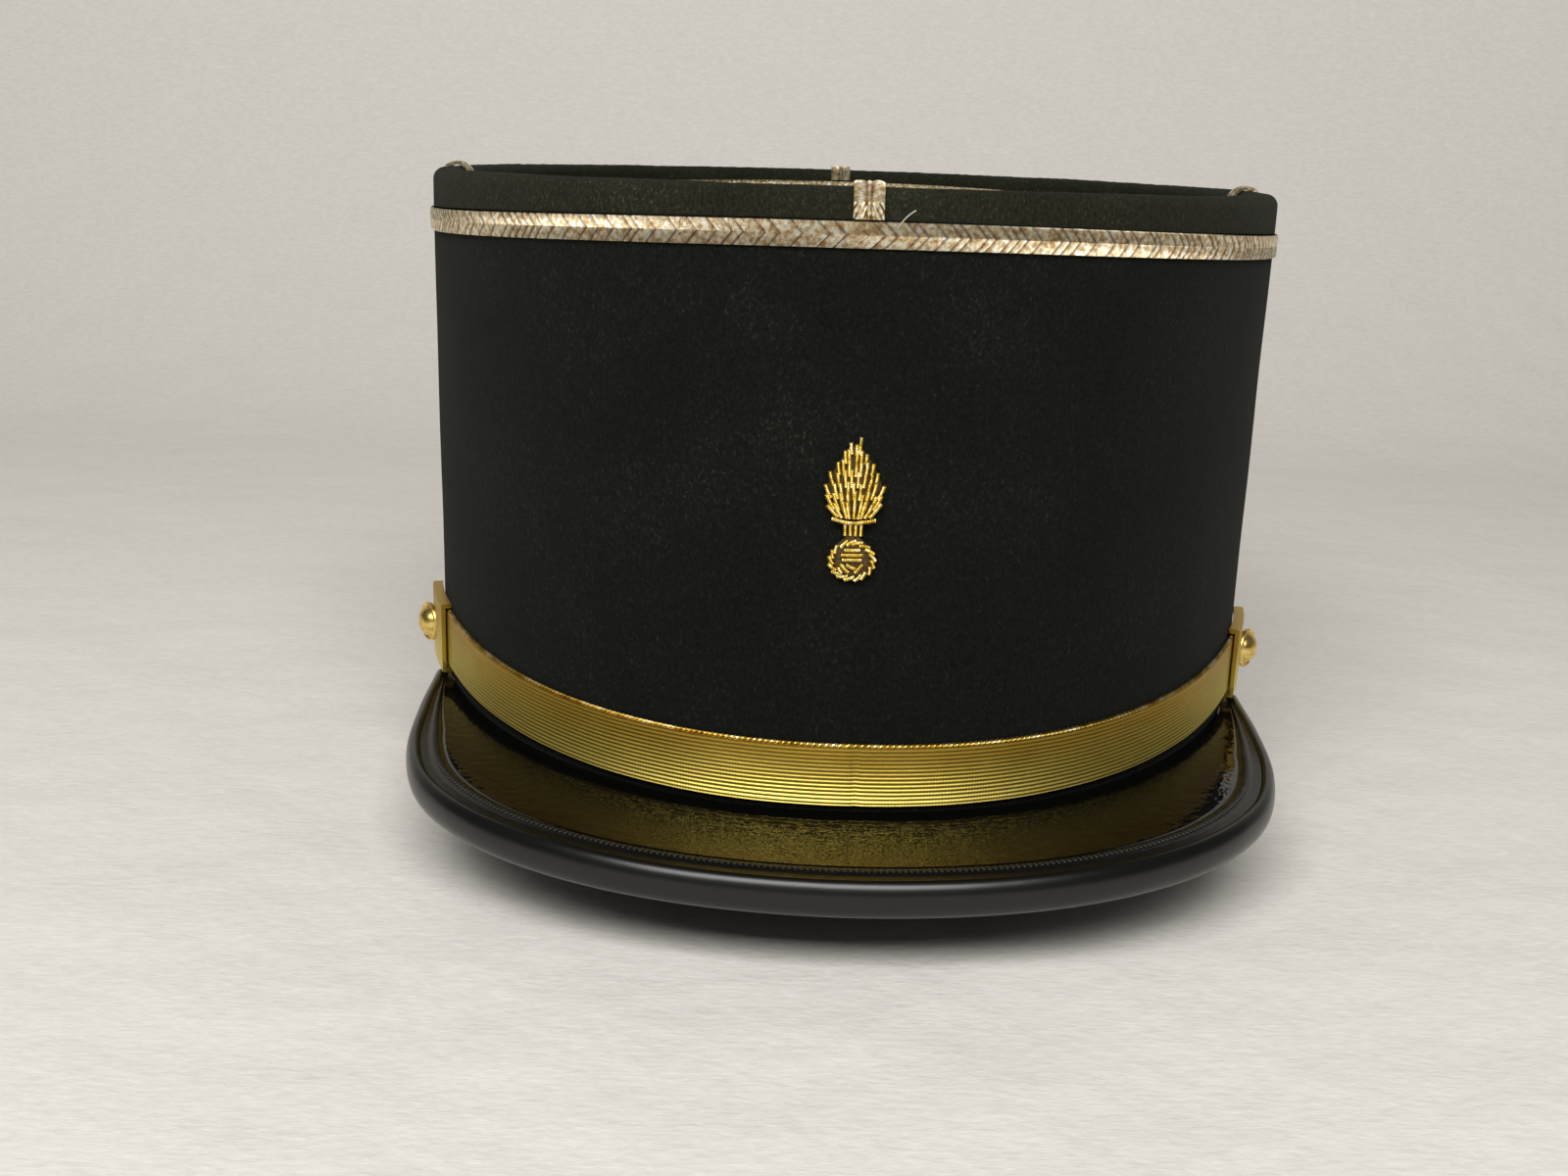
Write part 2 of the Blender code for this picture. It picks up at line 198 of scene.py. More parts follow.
# %% A sleeve from a grid
def wrap(mesh, columns, section, place, closed=False, length=1.0, tone=None):
    """Adds a grid with columns along the piece and one row for each corner of the
    section. place(u, *corner) gives a point, and tone(u, *corner) a number that
    the material can read."""
    rows = len(section)
    run = [0.0]
    for here, there in zip(section, section[1:] + section[:1]):
        run.append(run[-1] + math.dist(here, there) / MM)
    flat = mesh.loops.layers.uv.get("flat") or mesh.loops.layers.uv.new("flat")
    tones = mesh.verts.layers.float.get("tone") or mesh.verts.layers.float.new("tone")
    made = bmesh.ops.create_grid(mesh, x_segments=columns, y_segments=rows, size=0.5)
    for face in {face for vert in made["verts"] for face in vert.link_faces}:
        for corner in face.loops:
            spot = corner.vert.co
            corner[flat].uv = (
                (spot.x + 0.5) * length / MM, run[round((spot.y + 0.5) * rows)])
    for vert in made["verts"]:
        u, corner = vert.co.x + 0.5, section[round((vert.co.y + 0.5) * rows) % rows]
        if tone:
            vert[tones] = tone(u, *corner)
        vert.co = place(u, *corner)
    bmesh.ops.remove_doubles(mesh, verts=made["verts"], dist=0.001 * MM)
    if not closed:
        open_edges = [edge for edge in mesh.edges if edge.is_boundary]
        bmesh.ops.holes_fill(mesh, edges=open_edges, sides=0)


def sleeve(name, *shape, **options):
    """One wrapped strip as a piece of its own."""
    mesh = bmesh.new()
    wrap(mesh, *shape, **options)
    return finish(name, mesh)


def into_scene(name, data):
    made = bpy.data.objects.new(name, data)
    bpy.context.scene.collection.objects.link(made)
    return made


def finish(name, mesh, sharp=40.0):
    """Turns a bmesh into a piece that rides on the cap."""
    bmesh.ops.recalc_face_normals(mesh, faces=mesh.faces[:])
    data = bpy.data.meshes.new(name)
    mesh.to_mesh(data)
    mesh.free()
    data.shade_smooth()
    data.set_sharp_from_angle(angle=math.radians(sharp))
    piece = into_scene(name, data)
    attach(piece, "root")
    print(name, len(data.polygons), "faces")
    return piece


def dress(piece, look, slot, *nodes):
    """Gives a piece its material and hides the frame's nodes that it stands for."""
    piece.data.materials.append(look)
    if nodes:
        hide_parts(*nodes)


def spread(first, last, count):
    return [first + (last - first) * i / (count - 1) for i in range(count)]


def ring(count, radius):
    """The corners of a round section."""
    turns = [2 * math.pi * i / count for i in range(count)]
    return [(radius * math.cos(turn), radius * math.sin(turn)) for turn in turns]


# %% A node with its settings and links
def linear(code):
    """An sRGB hex colour as linear red, green, blue and alpha."""
    parts = [int(code[i:i + 2], 16) / 255 for i in (1, 3, 5)]
    return tuple(
        p / 12.92 if p <= 0.04045 else ((p + 0.055) / 1.055) ** 2.4 for p in parts
    ) + (1.0,)


def add(tree, kind, settings=None, links=None):
    """Adds a node. A setting is an input's value, a ramp's stops or an attribute."""
    made = tree.nodes.new(kind)
    for key, value in (settings or {}).items():
        if isinstance(value, str) and value.startswith("#"):
            value = linear(value)
        if key == "stops":
            ramp = made.color_ramp
            while len(ramp.elements) < len(value):
                ramp.elements.new(0.5)
            for element, (at, code) in zip(ramp.elements, value):
                element.position = at
                element.color = linear(code)
        elif key in made.inputs:
            made.inputs[key].default_value = value
        else:
            setattr(made, key, value)
    for key, source in (links or {}).items():
        tree.links.new(source, made.inputs[key])
    return made


def new_finish(name, **values):
    """A material with its one shader. Values are the shader's own sockets."""
    look = bpy.data.materials.new(name)
    look.use_nodes = True
    tree = look.node_tree
    shader = tree.nodes["Principled BSDF"]
    for key, value in values.items():
        if isinstance(value, str):
            value = linear(value)
        socket = key.replace("_", " ").title().replace("Ior", "IOR")
        shader.inputs[socket].default_value = value
    return look, tree, shader


# %% The nodes that most finishes share
def reckon(tree, operation, *terms):
    """Arithmetic on numbers and on the outputs of other nodes."""
    made = add(tree, "ShaderNodeMath", {"operation": operation})
    for socket, term in zip(made.inputs, terms):
        if isinstance(term, bpy.types.NodeSocket):
            tree.links.new(term, socket)
        else:
            socket.default_value = term
    return made.outputs["Value"]


def place_on(tree):
    """Where a point is on its piece."""
    return add(tree, "ShaderNodeTexCoord").outputs["Object"]


def grains(tree, spot, size_mm, detail, roughness=0.5):
    """A noise whose grains have a size in millimetres."""
    return add(tree, "ShaderNodeTexNoise",
               {"Scale": 1 / (size_mm * MM), "Detail": detail, "Roughness": roughness},
               {"Vector": spot}).outputs["Fac"]


def tinted(tree, factor, *stops):
    """A colour from a ramp."""
    return add(tree, "ShaderNodeValToRGB", {"stops": stops},
               {"Fac": factor}).outputs["Color"]


def ranged(tree, value, low, high):
    """A value from 0 to 1, moved to the range from low to high."""
    return add(tree, "ShaderNodeMapRange", {"To Min": low, "To Max": high},
               {"Value": value}).outputs["Result"]


def bumped(tree, height, strength, deep_mm, **under):
    """Relief, on top of another one if that is given as Normal."""
    return add(tree, "ShaderNodeBump", {"Strength": strength, "Distance": deep_mm * MM},
               {"Height": height, **under}).outputs["Normal"]


def plug(tree, shader, **sources):
    """Links outputs to the shader's sockets."""
    for key, source in sources.items():
        tree.links.new(source, shader.inputs[key.replace("_", " ").title()])


def mottled(name, *stops, size_mm, detail, gloss=None, **values):
    """A material whose colour follows a noise, and its roughness too, if gloss gives
    a range."""
    look, tree, shader = new_finish(name, **values)
    patches = grains(tree, place_on(tree), size_mm, detail)
    plug(tree, shader, base_color=tinted(tree, patches, *stops))
    if gloss:
        plug(tree, shader, roughness=ranged(tree, patches, *gloss))
    return look


# %% [markdown]
# ## Camera, light and floor
# The cap was seen from a little above its rim, about 37 cm away, so the near edge
# of the visor looks large. The light is one wide soft panel in front of the cap,
# over the camera and half way up the sky, so the metal shines, the visor's shadow
# falls behind its edge, and the floor darkens to the back. The floor is a white
# cotton sheet, a little creased, that sweeps up behind the cap.

# %% Camera
EYE = Vector((-11.2, -370.7, 126.8)) * MM
PITCH, PAN, ROLL = math.radians(13.748), math.radians(0.03), math.radians(1.855)
FOCUS_PIXELS, PHOTO_PIXELS = 1850, 1600     # focal length and width of the photo
ahead = Vector((
    math.sin(PAN) * math.cos(PITCH), math.cos(PAN) * math.cos(PITCH), -math.sin(PITCH)))
level = Vector((math.cos(PAN), -math.sin(PAN), 0.0))
over = level.cross(ahead)
right = level * math.cos(ROLL) + over * math.sin(ROLL)
above = over * math.cos(ROLL) - level * math.sin(ROLL)
lens = bpy.data.cameras.new("view")
lens.sensor_width = 36.0
lens.lens = FOCUS_PIXELS / PHOTO_PIXELS * lens.sensor_width
lens.clip_start, lens.clip_end = 0.02, 20.0
camera = into_scene("view", lens)
camera.matrix_world = Matrix((
    (right.x, above.x, -ahead.x, EYE.x),
    (right.y, above.y, -ahead.y, EYE.y),
    (right.z, above.z, -ahead.z, EYE.z),
    (0.0, 0.0, 0.0, 1.0)))
bpy.context.scene.camera = camera

# %% Light and air
bpy.context.scene.view_settings.view_transform = "Standard"


def soft_panel(name, size, watts, colour, place, target):
    """A rectangular light that faces a point."""
    panel = bpy.data.lights.new(name, "AREA")
    panel.shape = "RECTANGLE"
    panel.size, panel.size_y = size
    panel.energy = watts
    panel.color = colour
    lamp = into_scene(name, panel)
    lamp.location = place
    beam = Vector(target) - Vector(place)
    lamp.rotation_euler = beam.to_track_quat("-Z", "Y").to_euler()


soft_panel("front_panel", size=(1.0, 0.50), watts=14.6, colour=(1.0, 0.98, 0.95),
           place=(-0.08, -0.86, 0.83), target=(0.0, -0.08, 0.03))

air = bpy.data.worlds.new("air")
air.use_nodes = True
sky = air.node_tree.nodes["Background"]
sky.inputs["Color"].default_value = (1.0, 0.98, 0.93, 1.0)
sky.inputs["Strength"].default_value = 0.09
bpy.context.scene.world = air

# %% Floor
SWEEP_FROM, SWEEP_RADIUS = 0.38, 0.24           # in metres, as all of the sheet
CLOTH_WIDTH, CLOTH_FRONT, CLOTH_RISE = 6.0, 3.0, 1.2


def cloth_point(x, run):
    """The cloth is flat until SWEEP_FROM, then turns up and stands."""
    turn = (run - SWEEP_FROM) / SWEEP_RADIUS
    if turn <= 0.0:
        return Vector((x, run, 0.0))
    bent = min(turn, math.pi / 2)
    rise = max(turn - math.pi / 2, 0.0) * SWEEP_RADIUS
    return Vector((
        x, SWEEP_FROM + SWEEP_RADIUS * math.sin(bent),
        SWEEP_RADIUS * (1 - math.cos(bent)) + rise))


sheet = bmesh.new()
bmesh.ops.create_grid(sheet, x_segments=2, y_segments=160, size=0.5)
cloth_run = CLOTH_FRONT + SWEEP_FROM + CLOTH_RISE
for vert in sheet.verts:
    vert.co = cloth_point(
        vert.co.x * CLOTH_WIDTH, -CLOTH_FRONT + (vert.co.y + 0.5) * cloth_run)
floor_mesh = bpy.data.meshes.new("floor")
sheet.to_mesh(floor_mesh)
sheet.free()
floor_mesh.shade_smooth()
floor = into_scene("floor", floor_mesh)
floor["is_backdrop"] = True

cotton, tree, shader = new_finish("white_cotton_sheet", roughness=0.9)
spot = place_on(tree)
drawn = add(tree, "ShaderNodeMapping", {"Scale": (0.35, 1.0, 1.0)}, {"Vector": spot})
threads = grains(tree, drawn.outputs["Vector"], size_mm=1.1, detail=4.0, roughness=0.7)
creases = grains(tree, spot, size_mm=38, detail=5.0)
weave = bumped(tree, threads, strength=0.5, deep_mm=0.35)
folds = bumped(tree, creases, strength=0.5, deep_mm=5.0, Normal=weave)
plug(tree, shader, normal=folds,
     base_color=tinted(tree, threads, (0.3, "#E9E6DF"), (0.7, "#F5F2EE")))
floor_mesh.materials.append(cotton)

# %% [markdown]
# ## Wool felt
# Kepi cloth is a dense, milled wool: almost black, without a weave, with a short
# nap that catches the light as fine specks. The specks are painted in the colour as
# painted glints, about 0.5 mm apart. A noise of that size gives both colour and
# relief, a second one is as wide as a thumb and keeps the wall from looking sprayed,
# and a little sheen lights the edge.

# %% Felt
BRUSH_TURN, BRUSH_STRETCH = 0.7, 0.7        # the nap is combed a little to one side
BROAD_SHARE = 0.18          # how much the wide noise counts beside the nap


def wool(name, dark, light, nap_glint, grain_mm):
    look, tree, shader = new_finish(
        name, roughness=0.95, sheen_weight=0.03, sheen_roughness=0.45,
        specular_ior_level=0.06)
    spot = place_on(tree)
    brushed = add(tree, "ShaderNodeMapping", {
        "Rotation": (0.0, BRUSH_TURN, 0.0), "Scale": (1.0, 1.0, BRUSH_STRETCH)},
        {"Vector": spot})
    nap = grains(tree, brushed.outputs["Vector"], grain_mm, detail=6.0, roughness=0.75)
    broad = grains(tree, spot, size_mm=22, detail=3.0)
    mixed = reckon(tree, "MULTIPLY_ADD", broad, BROAD_SHARE, nap)
    # The lightest stop is a painted glint: the light that the nap catches.
    plug(tree, shader, normal=bumped(tree, nap, strength=0.6, deep_mm=0.35),
         base_color=tinted(tree, mixed, (0.42, dark), (0.68, light), (0.84, nap_glint)))
    return look


milled_felt = wool("milled_wool_felt", "#0B0C0A", "#181A16", "#3A3D36", 0.5)
top_felt = wool("milled_wool_top", "#0B0C0A", "#191B17", "#3A3D36", 0.5)
rim_cloth = wool("wool_rim_cloth", "#15160F", "#2A2B20", "#5A5C4A", 0.45)

# %% [markdown]
# ## The felt tube
# One thickness of felt over a stiff band, open below. Its section goes up the
# outside, over the top and down the inside, with its lower corners rounded as a
# turned edge is. The outside is not quite true: a soft wave of a quarter of a
# millimetre is what a hand-made tube has.

# %% Crown wall
WAVE_LONG, WAVE_DEEP = 26 * MM, 0.22 * MM


def wall_point(u, outward, share):
    angle = 2 * math.pi * u
    high = BRAID_FOOT + BRAID_WIDTH - dip(angle)
    spot = felt_point(angle, high * share / MM, outward)
    wave = noise.noise(spot * (1 / WAVE_LONG)) * WAVE_DEEP
    middle = math.sin(math.pi * min(max(share / MM, 0.0), 1.0))
    return felt_point(angle, spot.z, outward + wave * middle)


outside = [(0.0, share * MM) for share in spread(0.012, 1.0, 56)]
inside = [(-WALL, share * MM) for share in spread(1.0, 0.008, 24)]
turned_edge = [(-WALL * 0.86, 0.0), (-WALL * 0.5, 0.0), (-WALL * 0.14, 0.0),
               (-WALL * 0.04, 0.003 * MM)]
crown = sleeve("felt_crown", 360, outside + inside + turned_edge, wall_point,
               closed=True, length=0.57)
dress(crown, milled_felt, "wall_felt", "crown_wall")

# %% [markdown]
# ## The top panel and the rolled rim
# The flat top lies a little below the rim. The rim is cloth rolled over a cord, so
# it has a round top and fine puckers where the cloth is drawn in.

# %% Top panel
TOP_THICK = 2.0 * MM
TOP_EDGE = 0.3 * MM         # how far the panel's edge is rounded down
SAG_LONG, SAG_DEEP = 35 * MM, 0.25 * MM


def panel_point(u, share, level):
    angle = 2 * math.pi * u
    height = BRAID_FOOT + BRAID_WIDTH
    edge = felt_point(angle, height, -WALL - GAP)
    middle = Vector((0.0, felt_point(math.pi / 2, height).y, height))
    spot = middle.lerp(edge, share)
    sag = SAG_DEEP * noise.noise(spot * (1 / SAG_LONG))
    spot.z = height + level - dip(angle, share) + sag * (1 - share)
    return spot


upper = [(share, 0.0) for share in spread(0.0, 0.99, 40)] + [(1.0, -TOP_EDGE)]
under = [(share, -TOP_THICK) for share in spread(1.0, 0.0, 20)]
top = sleeve("felt_top", 180, upper + under, panel_point, closed=True)
dress(top, top_felt, "top_felt", "crown_top")

# %% Rolled rim
PUCKERS, PUCKER_DEEP = 67, 0.10 * MM        # puckers in each radian
SWELLS, SWELL_DEEP = 4.0, 0.15 * MM


def rim_point(u, outward, height):
    """Both waves are read on a circle, so they meet where the rim closes."""
    angle = 2 * math.pi * u
    circle = Vector((math.cos(angle), math.sin(angle), 0.0))
    pucker = noise.noise(circle * PUCKERS + UP * (height / MM * 0.35)) * PUCKER_DEEP
    swell = noise.noise((circle + UP * 0.3) * SWELLS) * SWELL_DEEP
    lift = max(height - rim_foot, 0.0) / (RIM_TOP - rim_foot)
    level = rim_level(angle, height)
    return felt_point(angle, level + (pucker + swell) * lift, outward + pucker * lift)


def over_rim(turn):
    """How far out and how high the rim's round top is, at a turn from its outside."""
    return (-rim_radius + rim_radius * math.cos(turn),
            rim_middle + rim_radius * math.sin(turn))


rim_section = [(0.0, z) for z in spread(rim_foot, rim_middle, 7)[:-1]]
rim_section += [over_rim(turn) for turn in spread(0.0, math.pi, 19)]
rim_section += [(-RIM_THICK, z) for z in spread(rim_middle, rim_foot, 7)[1:]]
rim = sleeve("rolled_rim", 720, rim_section, rim_point, closed=True, length=0.57)
dress(rim, rim_cloth, "rim_felt", "top_rim")

# %% [markdown]
# ## Metal braid
# The flat braid is two rows of slanting bundles of fine metal thread that meet in
# a herringbone. A dark red thread shows in the grooves between bundles, which are
# not evenly spaced. The bundles' grooves are in the mesh, and a number on each
# point tells the material where the red thread is. The fine threads are too small
# for a mesh, so a wave in the material follows the braid's own UV map.

# %% Metal braid finish
THREAD_PITCH = 0.36         # in millimetres, as the UV map


def flat_lengths(tree):
    """Millimetres along a strip and across it."""
    flat = add(tree, "ShaderNodeUVMap", {"uv_map": "flat"})
    split = add(tree, "ShaderNodeSeparateXYZ", links={"Vector": flat.outputs["UV"]})
    return split.outputs["X"], split.outputs["Y"]


def wave_of(tree, run, pitch):
    return reckon(tree, "SINE", reckon(tree, "MULTIPLY", run, 2 * math.pi / pitch))


def tone_on(tree):
    """The number on each point."""
    return add(tree, "ShaderNodeAttribute", {"attribute_name": "tone"}).outputs["Fac"]


def dark_thread_and_shade(tree, colour, dark):
    """The colour goes over to a dark one with the tone: a dark red thread in the braid,
    painted shade in the lace.
    """
    return add(tree, "ShaderNodeMixRGB", {"Color2": dark},
               {"Fac": tone_on(tree), "Color1": colour}).outputs["Color"]


def braid_finish(name, middle_mm, lean=1.0):
    """The threads lean away from the braid's middle line on both sides."""
    look, tree, shader = new_finish(name, metallic=1.0, roughness=0.38)
    run, rise = flat_lengths(tree)
    off = reckon(tree, "ABSOLUTE", reckon(tree, "SUBTRACT", rise, middle_mm))
    slant = reckon(tree, "MULTIPLY_ADD", off, lean, run)
    threads = wave_of(tree, slant, THREAD_PITCH)
    blotches = grains(tree, place_on(tree), size_mm=0.8, detail=4.0)
    metal = tinted(
        tree, blotches, (0.34, "#B8966A"), (0.5, "#E8D6AE"), (0.62, "#FFFBE8"))
    plug(tree, shader, base_color=dark_thread_and_shade(tree, metal, "#4A1A10"),
         normal=bumped(tree, threads, strength=0.8, deep_mm=0.12))
    return look


# %% Braid round the top
BRAID_THICK, BRAID_EDGE = 0.5 * MM, 0.1 * MM
BRAID_ROLL, BRAID_CUT = 0.08 * MM, 0.14 * MM    # swell of a row, depth of a groove
GROOVE_REACH, GROOVE_TONE = 0.40 * MM, 0.9
BUNDLE_LEAST, BUNDLE_MOST = 1.3, 4.2            # width of a bundle, in millimetres
BUNDLE_SLANT = 0.9
ROUND = 0.5702              # length of the braid round the cap, in metres
chance = random.Random(7)
grooves = [0.0]
while grooves[-1] < ROUND - 4.0 * MM:
    grooves.append(grooves[-1] + chance.uniform(BUNDLE_LEAST, BUNDLE_MOST) * MM)
print("bundles in the braid:", len(grooves))


def groove_at(run):
    """How deep in the nearest groove a place is, from 0 to 1."""
    run %= ROUND
    nearest = min(abs(run - g) for g in grooves)
    return max(0.0, 1.0 - nearest / GROOVE_REACH)


def braid_spot(u, height):
    """Distance along the braid after its slant, and how far off its middle."""
    off = abs(height - BRAID_FOOT - BRAID_WIDTH / 2)
    return u * ROUND + off * BUNDLE_SLANT, off


def braid_tone(u, outward, height):
    run, off = braid_spot(u, height)
    return groove_at(run) * GROOVE_TONE if outward > GAP + BRAID_EDGE else 0.0


def braid_point(u, outward, height):
    angle = 2 * math.pi * u
    run, off = braid_spot(u, height)
    roll = 0.0
    if outward > GAP + BRAID_EDGE:
        share = min(off / (BRAID_WIDTH / 2), 1.0)
        roll = BRAID_ROLL * math.sin(math.pi * share) - BRAID_CUT * groove_at(run)
    return felt_point(angle, height - dip(angle), outward + roll)


braid_face = GAP + BRAID_THICK - 0.2 * MM
braid_top = BRAID_FOOT + BRAID_WIDTH
braid_section = [
    (braid_face, z) for z in spread(BRAID_FOOT + BRAID_EDGE, braid_top - BRAID_EDGE, 21)]
braid_section += [(GAP + 0.15 * MM, braid_top), (GAP, braid_top), (GAP, BRAID_FOOT),
                  (GAP + 0.15 * MM, BRAID_FOOT)]
silver_gilt = braid_finish("silver_gilt_braid", (BRAID_WIDTH / MM - 0.2) / 2)
braid = sleeve("herringbone_braid", 2400, braid_section, braid_point, closed=True,
               length=ROUND, tone=braid_tone)
dress(braid, silver_gilt, "band_braid", "braid_band")

# %% [markdown]
# ## Braid inside the rim and over it
# A thinner braid hides the seam inside the rim. Four short ones go over the rim,
# at the front, the back and the two sides. Each has three ridges along it, because
# it is a narrow braid folded together.

# %% Inner braid
INNER_WIDTH, INNER_THICK = 2.0 * MM, 1.0 * MM
INNER_STRANDS, STRAND_SLOPE, STRAND_DEEP = 420, 1.6 * MM, 0.16 * MM
INNER_LEAST, INNER_SWELL = 0.35, 0.45       # shares of its thickness, edge and middle
inner_wall = -RIM_THICK - GAP


def inner_point(u, outward, height):
    angle = 2 * math.pi * u
    turn = 2 * math.pi * (u * INNER_STRANDS + (height - rim_foot) / STRAND_SLOPE)
    twist = STRAND_DEEP * math.sin(turn) if outward < inner_wall - 0.3 * MM else 0.0
    return felt_point(angle, height - dip(angle), outward - twist)


inner_section = [(inner_wall, rim_foot), (inner_wall, rim_foot + INNER_WIDTH)]
inner_section += [
    (inner_wall - INNER_THICK * (INNER_LEAST + INNER_SWELL * math.sin(math.pi * share)),
     rim_foot + INNER_WIDTH * (1 - share))
    for share in spread(0.04, 0.96, 9)]
inner = sleeve("inner_braid_line", 1260, inner_section, inner_point, closed=True,
               length=ROUND)
inner_gilt = braid_finish("inner_gilt_braid", middle_mm=3.3)
dress(inner, inner_gilt, "inner_braid", "inner_braid")

# %% Braid tabs
TAB_WIDTH, TAB_THICK = 4.8 * MM, 0.7 * MM
TAB_LINE = 0.16             # where the narrow ridge ends, as a share of half the width
TAB_VALLEY, TAB_SWELL = 0.55, 0.45
TAB_ROUGH, TAB_LINE_HALF, TAB_TONE = 0.06 * MM, 0.22 * MM, 0.85
inner_end = rim_foot + INNER_WIDTH + GAP
tab_path = [(0.0, rim_foot, 0.0)]
tab_path += [(*over_rim(turn), turn) for turn in spread(0.0, math.pi, 25)]
tab_path += [(-RIM_THICK, inner_end, math.pi)]


def tab_place(angle):
    """Where a corner of the tab's section goes, for one of the four tabs."""
    nearby = math.radians(1.0)

    def place(u, across, lift):
        at = u * (len(tab_path) - 1)
        first = min(int(at), len(tab_path) - 2)
        here, there = tab_path[first], tab_path[first + 1]
        outward, height, turn = (a + (b - a) * (at - first) for a, b in zip(here, there))
        level = rim_level(angle, height)
        side = felt_point(angle + nearby, level) - felt_point(angle - nearby, level)
        side.z = 0.0
        side.normalize()
        out = Vector((side.y, -side.x, 0.0))
        facing = out * math.cos(turn) + UP * math.sin(turn)
        rough = noise.noise(Vector((across / MM * 1.1, at * 1.3, angle))) * TAB_ROUGH
        spot = felt_point(angle, level) + out * outward + side * across
        return spot + facing * (lift + (rough if lift > GAP else 0.0))

    return place


def tab_ridges(across):
    """Three ridges: two wide ones and a narrow one between them."""
    share = abs(across) / (TAB_WIDTH / 2)
    if share < TAB_LINE:
        return TAB_VALLEY + TAB_SWELL * math.cos(share / TAB_LINE * math.pi / 2)
    wide = math.sin((share - TAB_LINE) / (1 - TAB_LINE) * math.pi) ** 0.5
    return TAB_VALLEY + TAB_SWELL * wide


def tab_tone(u, across, lift):
    line = abs(abs(across) - TAB_LINE * TAB_WIDTH / 2)
    return max(0.0, TAB_TONE - line / TAB_LINE_HALF) if lift > GAP else 0.0


tab_section = [
    (across, GAP + TAB_THICK * tab_ridges(across))
    for across in spread(-TAB_WIDTH / 2 * 0.98, TAB_WIDTH / 2 * 0.98, 31)]
tab_section += [(TAB_WIDTH / 2, GAP), (-TAB_WIDTH / 2, GAP)]
tab_gilt = braid_finish("tab_gilt_braid", TAB_WIDTH / MM / 2, lean=0.4)
for name, quarter in (("front", 0), ("left", 1), ("back", 2), ("right", 3)):
    tab = sleeve("rim_tab_" + name, 72, tab_section, tab_place(quarter * math.pi / 2),
                 length=14 * MM, tone=tab_tone)
    dress(tab, tab_gilt, "braid_tab_" + name, "braid_tab_" + name)

# %% [markdown]
# ## Patent leather
# Patent leather is leather under layers of polished lacquer. It is black, and what
# the eye sees is what it mirrors: here the ribs of the gold strap, broken up by the
# small unevenness of the leather below. So the finish is a near-black base whose one
# glossy layer is the lacquer, with a very shallow bump a few millimetres wide. The
# bead is handled most, so its gloss is rubbed to a satin.

# %% Patent leather finish
def patent(name, wave_mm, depth_mm, gloss, worn):
    """Roughness goes from gloss to worn with the tone on each point."""
    look, tree, shader = new_finish(name, base_color="#080807", ior=1.5)
    uneven = grains(tree, place_on(tree), wave_mm, detail=2.0, roughness=0.45)
    plug(tree, shader, roughness=ranged(tree, tone_on(tree), gloss, worn),
         normal=bumped(tree, uneven, strength=1.0, deep_mm=depth_mm))
    return look


patent_sheet = patent("patent_leather", wave_mm=2.0, depth_mm=0.07, gloss=0.04, worn=0.36)
patent_edge = patent(
    "patent_leather_edge", wave_mm=9.0, depth_mm=0.10, gloss=0.30, worn=0.30)

# %% [markdown]
# ## The visor
# The visor is a stiff, nearly flat sheet that slopes down to the front. Its edge is
# rolled into an upright bead. Just inside it runs a raised line that is sewn with
# short stitches, and inside that a pressed groove. All three run together at the
# tips, where the sheet has almost no width left. The sheet is worked out between
# two lines, the seam on the felt and the bead, so it can't miss either.

# %% Bead line
BeadRow = namedtuple("BeadRow", "station across forward height half_height half_thick")
BEAD_ROWS = (
    BeadRow(-1.0, -22.5, -109.4, 14.8, 3.1, 1.65),
    BeadRow(0.0, 0.0, -111.3, 14.5, 3.1, 1.65),
    BeadRow(1.0, 22.5, -109.4, 14.8, 3.1, 1.65),
    BeadRow(2.0, 42.0, -104.0, 15.6, 3.1, 1.65),
    BeadRow(3.0, 58.6, -94.0, 16.5, 3.1, 1.65),
    BeadRow(4.0, 70.2, -80.5, 17.6, 3.1, 1.65),
    BeadRow(5.0, 75.4, -66.0, 19.1, 3.1, 1.65),
    BeadRow(6.0, 77.0, -48.5, 20.9, 2.9, 1.6),
    BeadRow(7.0, 77.6, -28.8, 22.8, 1.9, 1.4),
)


def bead_at(angle):
    """Middle, half height and half thickness of the bead at a station."""
    row = smooth(BEAD_ROWS, abs(angle) / TIP_ANGLE * BEAD_ROWS[-1].station)
    middle = Vector((math.copysign(row.across, angle), row.forward, row.height))
    return middle * MM, row.half_height * MM, row.half_thick * MM


def bead_course(angle):
    nearby = math.radians(0.5)
    before, after = max(angle - nearby, -TIP_ANGLE), min(angle + nearby, TIP_ANGLE)
    return (bead_at(after)[0] - bead_at(before)[0]).normalized()


# %% Visor sheet
VISOR_THICK, VISOR_SEAT, VISOR_SAG = 2.2 * MM, 0.5, 0.3 * MM
RIDGE_IN, RIDGE_HALF, RIDGE_RISE = 2.9 * MM, 0.75 * MM, 0.34 * MM
GROOVE_IN, GROOVE_HALF, GROOVE_DEEP = 4.6 * MM, 0.25 * MM, 0.12 * MM
EDGE_ZONE = 6.4 * MM
FULL_WIDTH = 14 * MM        # a narrower sheet has its edge zone scaled down
TUCK = 0.5                  # how deep the sheet goes in the bead, as a share of its half
RUBBED_FROM, RUBBED_OVER = 1.2, 0.25
SHEET_END = TIP_ANGLE * 27.6 / 28
STITCH_END = TIP_ANGLE * 25.6 / 28


def sheet_span(angle):
    """Both ends of the sheet's middle line, at the felt and tucked in the bead."""
    start = felt_point(angle, seam_height(angle), GAP) - UP * (VISOR_THICK / 2)
    middle, half_height, half_thick = bead_at(angle)
    out = Vector((middle.x - start.x, middle.y - start.y, 0.0)).normalized()
    course = bead_course(angle)
    across = Vector((course.y, -course.x, 0.0)).normalized()
    tucked = TUCK * half_thick / abs(out.dot(across))
    return start, middle - out * tucked + UP * (VISOR_SEAT * half_height)


